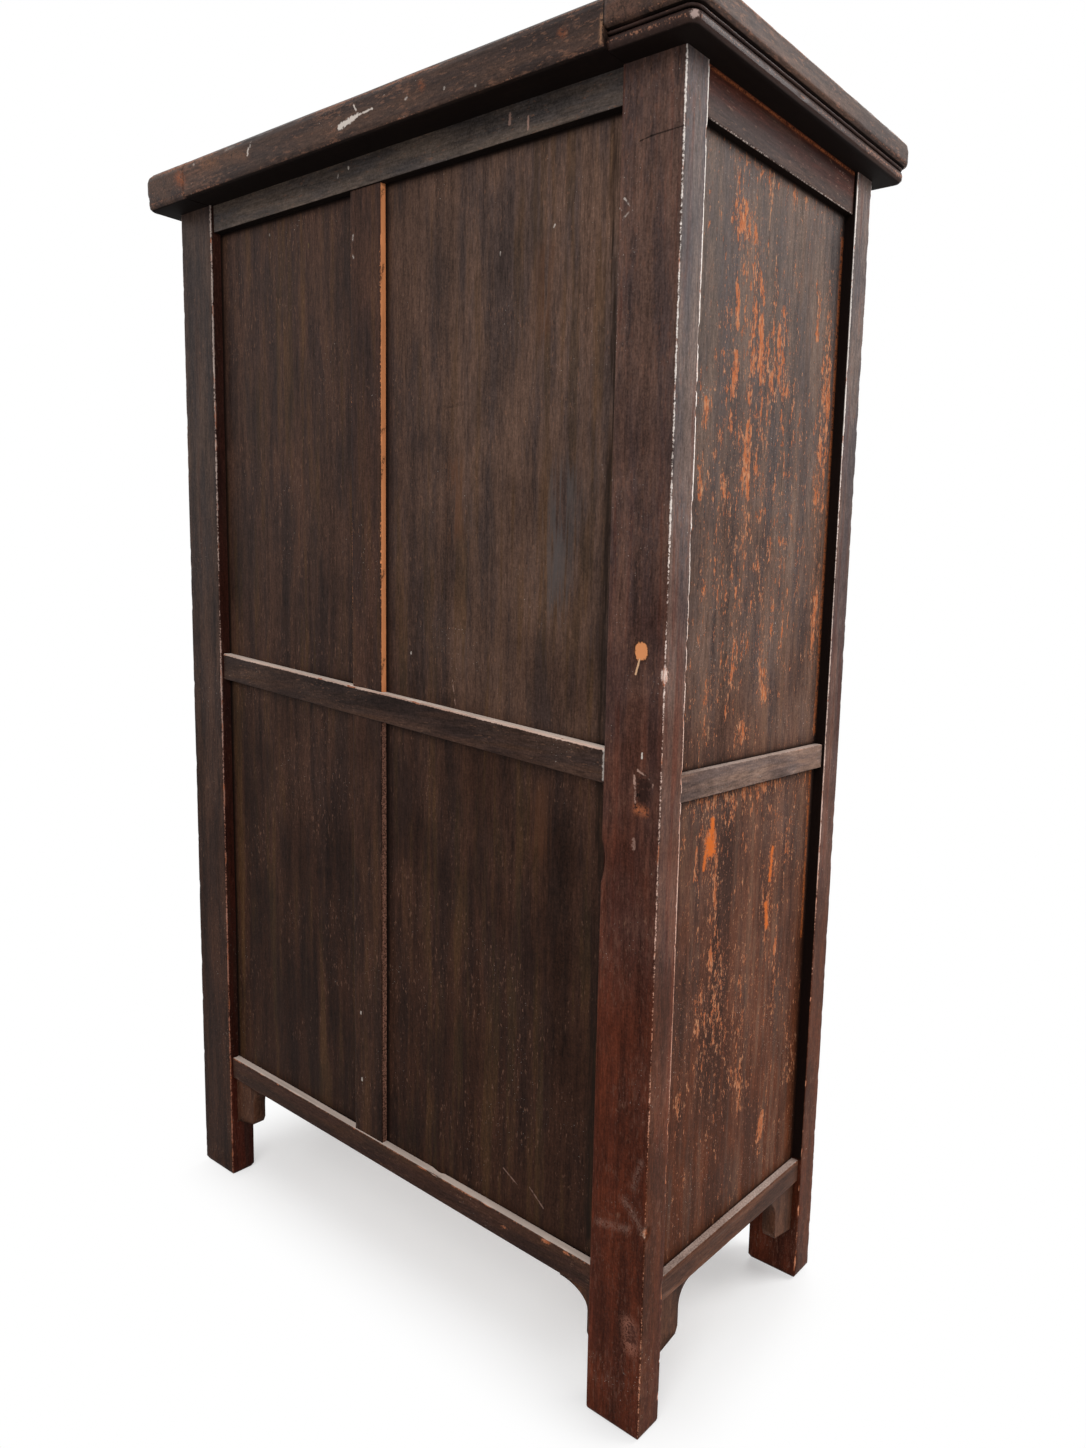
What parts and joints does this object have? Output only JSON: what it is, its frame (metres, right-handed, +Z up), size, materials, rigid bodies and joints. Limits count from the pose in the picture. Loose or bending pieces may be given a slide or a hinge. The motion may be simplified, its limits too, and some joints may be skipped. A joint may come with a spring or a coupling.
{
  "type": "wedding cabinet",
  "caption": "Tall lacquered cabinet on corner posts, with panelled back and sides, pivot doors, a lift-out centre stile and an overhanging moulded top.",
  "frame": {"origin": "on the floor, under the middle of the cabinet", "axes": "+Z up, -Y out of the doors, +X to the right as seen from the front"},
  "size_m": [1.161, 0.559, 1.808],
  "materials": {
    "dark_lacquer": "old brown-black lacquer, satin, grain showing through",
    "red_lacquer": "old dark red-brown lacquer, satin, worn at the edges",
    "worn_lacquer": "thin lacquer flaked along the grain down to tan wood",
    "bare_wood": "unfinished wood, aged",
    "brass": "aged brass, dull polish"
  },
  "bodies": {
    "carcass": {"post_front_left": "red_lacquer", "post_front_right": "red_lacquer", "post_back_left": "red_lacquer", "post_back_right": "red_lacquer", "back_top_rail": "dark_lacquer", "back_mid_rail": "dark_lacquer", "back_bottom_rail": "dark_lacquer", "back_upper_muntin": "dark_lacquer", "back_lower_muntin": "dark_lacquer", "back_upper_panel_left": "dark_lacquer", "back_upper_panel_right": "dark_lacquer", "back_lower_panel_left": "dark_lacquer", "back_lower_panel_right": "dark_lacquer", "left_top_rail": "dark_lacquer", "left_mid_rail": "dark_lacquer", "left_bottom_rail": "dark_lacquer", "right_top_rail": "dark_lacquer", "right_mid_rail": "dark_lacquer", "right_bottom_rail": "dark_lacquer", "left_upper_panel": "worn_lacquer", "left_lower_panel": "worn_lacquer", "right_upper_panel": "worn_lacquer", "right_lower_panel": "worn_lacquer", "front_top_rail": "dark_lacquer", "front_bottom_rail": "dark_lacquer", "shelf_front_bearer": "bare_wood", "shelf_board": "bare_wood", "floor_board": "bare_wood", "top_end_left": "red_lacquer", "top_end_right": "red_lacquer", "top_front_member": "red_lacquer", "top_back_member": "red_lacquer", "top_panel": "dark_lacquer", "front_bracket_left": "dark_lacquer", "front_bracket_right": "dark_lacquer", "back_bracket_left": "dark_lacquer", "back_bracket_right": "dark_lacquer", "left_bracket_front": "dark_lacquer", "left_bracket_back": "dark_lacquer", "right_bracket_front": "dark_lacquer", "right_bracket_back": "dark_lacquer"},
    "left_door": {"left_door_hinge_stile": "red_lacquer", "left_door_lock_stile": "red_lacquer", "left_door_top_rail": "red_lacquer", "left_door_bottom_rail": "red_lacquer", "left_door_panel": "red_lacquer", "left_face_plate": "brass", "left_pull_staple": "brass"},
    "right_door": {"right_door_hinge_stile": "red_lacquer", "right_door_lock_stile": "red_lacquer", "right_door_top_rail": "red_lacquer", "right_door_bottom_rail": "red_lacquer", "right_door_panel": "red_lacquer", "right_face_plate": "brass", "right_pull_staple": "brass"},
    "centre_stile": {"centre_stile": "red_lacquer", "centre_face_plate": "brass"},
    "left_pull": {"left_pull": "brass"},
    "right_pull": {"right_pull": "brass"}
  },
  "joints": [
    {"name": "left_door_swing", "type": "hinge", "parent": "carcass", "child": "left_door", "pos_m": [-0.4285, -0.2205, 0.95225], "axis": [0, 0, -1], "range_deg": [0, 95]},
    {"name": "right_door_swing", "type": "hinge", "parent": "carcass", "child": "right_door", "pos_m": [0.4285, -0.2205, 0.95225], "axis": [0, 0, 1], "range_deg": [0, 95]},
    {"name": "centre_stile_lift", "type": "slide", "parent": "carcass", "child": "centre_stile", "axis": [0, 0, 1], "range_m": [0, 0.008]},
    {"name": "left_pull_swing", "type": "hinge", "parent": "left_door", "child": "left_pull", "pos_m": [-0.055, -0.2438, 0.965], "axis": [-1, 0, 0], "range_deg": [0, 100]},
    {"name": "right_pull_swing", "type": "hinge", "parent": "right_door", "child": "right_pull", "pos_m": [0.055, -0.2438, 0.965], "axis": [-1, 0, 0], "range_deg": [0, 100]}
  ]
}
